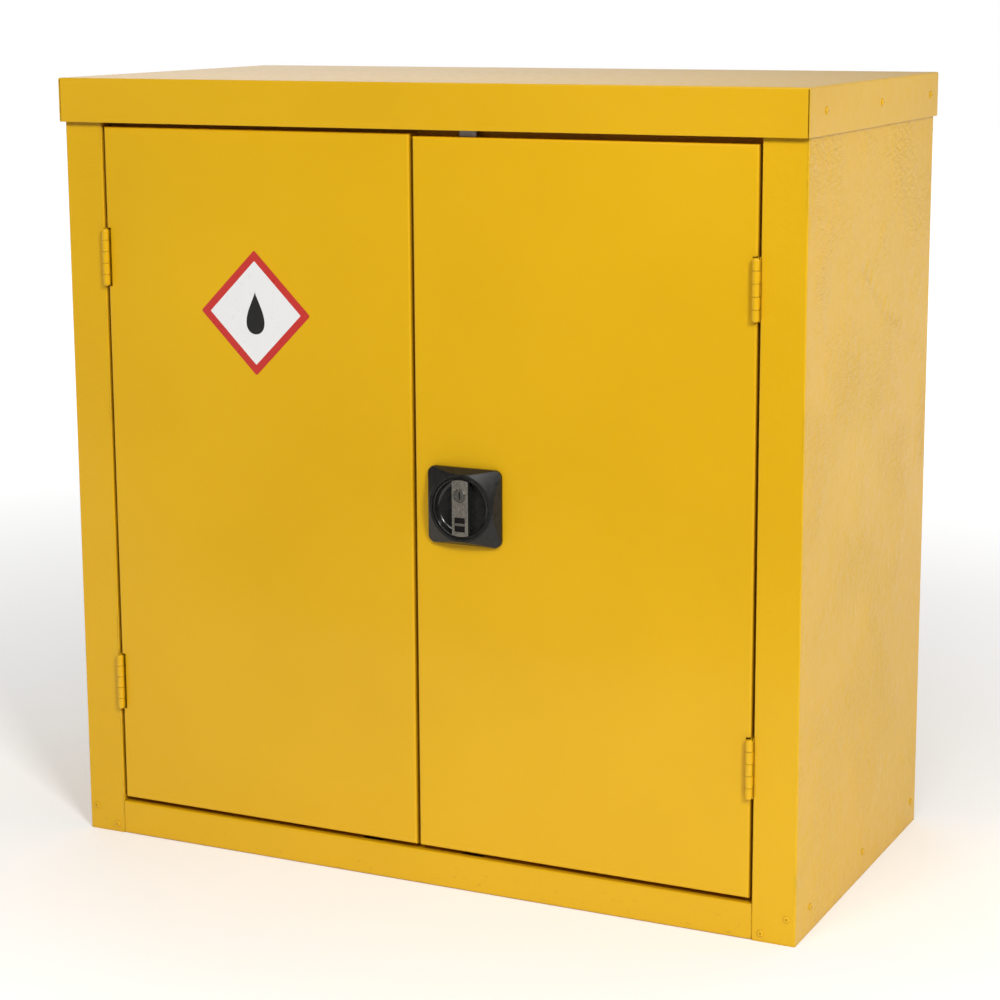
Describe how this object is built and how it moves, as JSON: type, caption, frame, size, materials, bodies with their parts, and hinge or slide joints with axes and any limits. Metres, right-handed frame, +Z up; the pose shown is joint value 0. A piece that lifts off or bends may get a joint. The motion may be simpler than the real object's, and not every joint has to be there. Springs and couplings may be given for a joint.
{
  "type": "flammable storage cabinet",
  "caption": "Low two-door sheet-steel cabinet for flammable liquids, with a capped top, sump base, adjustable shelves and a turning grip lock that throws bars up and down.",
  "frame": {"origin": "bottom centre of the whole object: on the floor, midway across the width and midway between the grip at the front and the cap at the back", "axes": "+X to the right seen from the front, +Y towards the back, +Z up; the doors face -Y"},
  "size_m": [0.9032, 0.469, 0.9],
  "materials": {
    "yellow_powder_coat": "semi-gloss powder coat with light orange peel",
    "black_casting": "satin black moulding",
    "grip_metal": "dull grey die casting",
    "black_insert": "satin",
    "nickel_lock": "nickel plate",
    "white_nylon": "natural nylon",
    "buffer_rubber": "matt",
    "sticker_vinyl": "printed vinyl film",
    "zinc_plate": "bright zinc plate"
  },
  "bodies": {
    "carcass": {"back_panel": "yellow_powder_coat", "base_pan": "yellow_powder_coat", "bottom_rail": "yellow_powder_coat", "cap_rivets": "yellow_powder_coat", "door_buffers": "buffer_rubber", "foot_rivets": "yellow_powder_coat", "header_rail": "yellow_powder_coat", "header_stop": "yellow_powder_coat", "left_door_stop": "yellow_powder_coat", "left_front_shelf_standard": "yellow_powder_coat", "left_lower_hinge_frame_leaf": "yellow_powder_coat", "left_lower_hinge_pin": "yellow_powder_coat", "left_rear_shelf_standard": "yellow_powder_coat", "left_side_panel": "yellow_powder_coat", "left_upper_hinge_frame_leaf": "yellow_powder_coat", "left_upper_hinge_pin": "yellow_powder_coat", "lower_shelf": "yellow_powder_coat", "lower_shelf_clips": "zinc_plate", "right_door_stop": "yellow_powder_coat", "right_front_shelf_standard": "yellow_powder_coat", "right_lower_hinge_frame_leaf": "yellow_powder_coat", "right_lower_hinge_pin": "yellow_powder_coat", "right_rear_shelf_standard": "yellow_powder_coat", "right_side_panel": "yellow_powder_coat", "right_upper_hinge_frame_leaf": "yellow_powder_coat", "right_upper_hinge_pin": "yellow_powder_coat", "side_rivets": "yellow_powder_coat", "top_cap": "yellow_powder_coat", "upper_shelf": "yellow_powder_coat", "upper_shelf_clips": "zinc_plate"},
    "left_door": {"hazard_sticker": "sticker_vinyl", "left_door": "yellow_powder_coat", "left_door_bottom_bolt_guide": "white_nylon", "left_door_stiffener": "yellow_powder_coat", "left_door_top_bolt_guide": "white_nylon", "left_lower_hinge_door_leaf": "yellow_powder_coat", "left_upper_hinge_door_leaf": "yellow_powder_coat"},
    "right_door": {"bottom_bar_guide": "white_nylon", "handle_escutcheon": "black_casting", "right_door": "yellow_powder_coat", "right_door_stiffener": "yellow_powder_coat", "right_lower_hinge_door_leaf": "yellow_powder_coat", "right_upper_hinge_door_leaf": "yellow_powder_coat", "spindle_bush": "zinc_plate", "top_bar_guide": "white_nylon"},
    "handle": {"cam_screw": "zinc_plate", "grip_insert": "black_insert", "handle_dial": "black_casting", "handle_grip": "grip_metal", "lock_cam": "zinc_plate", "spindle": "zinc_plate"},
    "key_plug": {"lock_plug": "nickel_lock", "plug_tail": "nickel_lock"},
    "top_bar": {"top_locking_bar": "zinc_plate"},
    "bottom_bar": {"bottom_locking_bar": "zinc_plate"},
    "left_top_bolt": {"left_door_top_bolt": "zinc_plate"},
    "left_bottom_bolt": {"left_door_bottom_bolt": "zinc_plate"}
  },
  "joints": [
    {"name": "left_door_hinge", "type": "hinge", "parent": "carcass", "child": "left_door", "pos_m": [-0.3948, -0.2227, 0.443], "axis": [0, 0, -1], "range_deg": [0, 170]},
    {"name": "right_door_hinge", "type": "hinge", "parent": "carcass", "child": "right_door", "pos_m": [0.3948, -0.2227, 0.443], "axis": [0, 0, 1], "range_deg": [0, 170]},
    {"name": "handle_turn", "type": "hinge", "parent": "right_door", "child": "handle", "pos_m": [0.0635, -0.2185, 0.443], "axis": [0, 1, 0], "range_deg": [0, 90]},
    {"name": "key_turn", "type": "hinge", "parent": "handle", "child": "key_plug", "pos_m": [0.0635, -0.2185, 0.457], "axis": [0, -1, 0], "range_deg": [0, 90]},
    {"name": "top_bar_slide", "type": "slide", "parent": "right_door", "child": "top_bar", "axis": [0, 0, 1], "range_m": [0, 0.0199]},
    {"name": "bottom_bar_slide", "type": "slide", "parent": "right_door", "child": "bottom_bar", "axis": [0, 0, -1], "range_m": [0, 0.0199]},
    {"name": "left_top_bolt_slide", "type": "slide", "parent": "left_door", "child": "left_top_bolt", "axis": [0, 0, 1], "range_m": [0, 0.02]},
    {"name": "left_bottom_bolt_slide", "type": "slide", "parent": "left_door", "child": "left_bottom_bolt", "axis": [0, 0, -1], "range_m": [0, 0.02]}
  ],
  "couplings": [
    {"joint": "top_bar_slide", "follows": "handle_turn", "m_per_rad": 0.012604},
    {"joint": "bottom_bar_slide", "follows": "handle_turn", "m_per_rad": 0.012604}
  ]
}
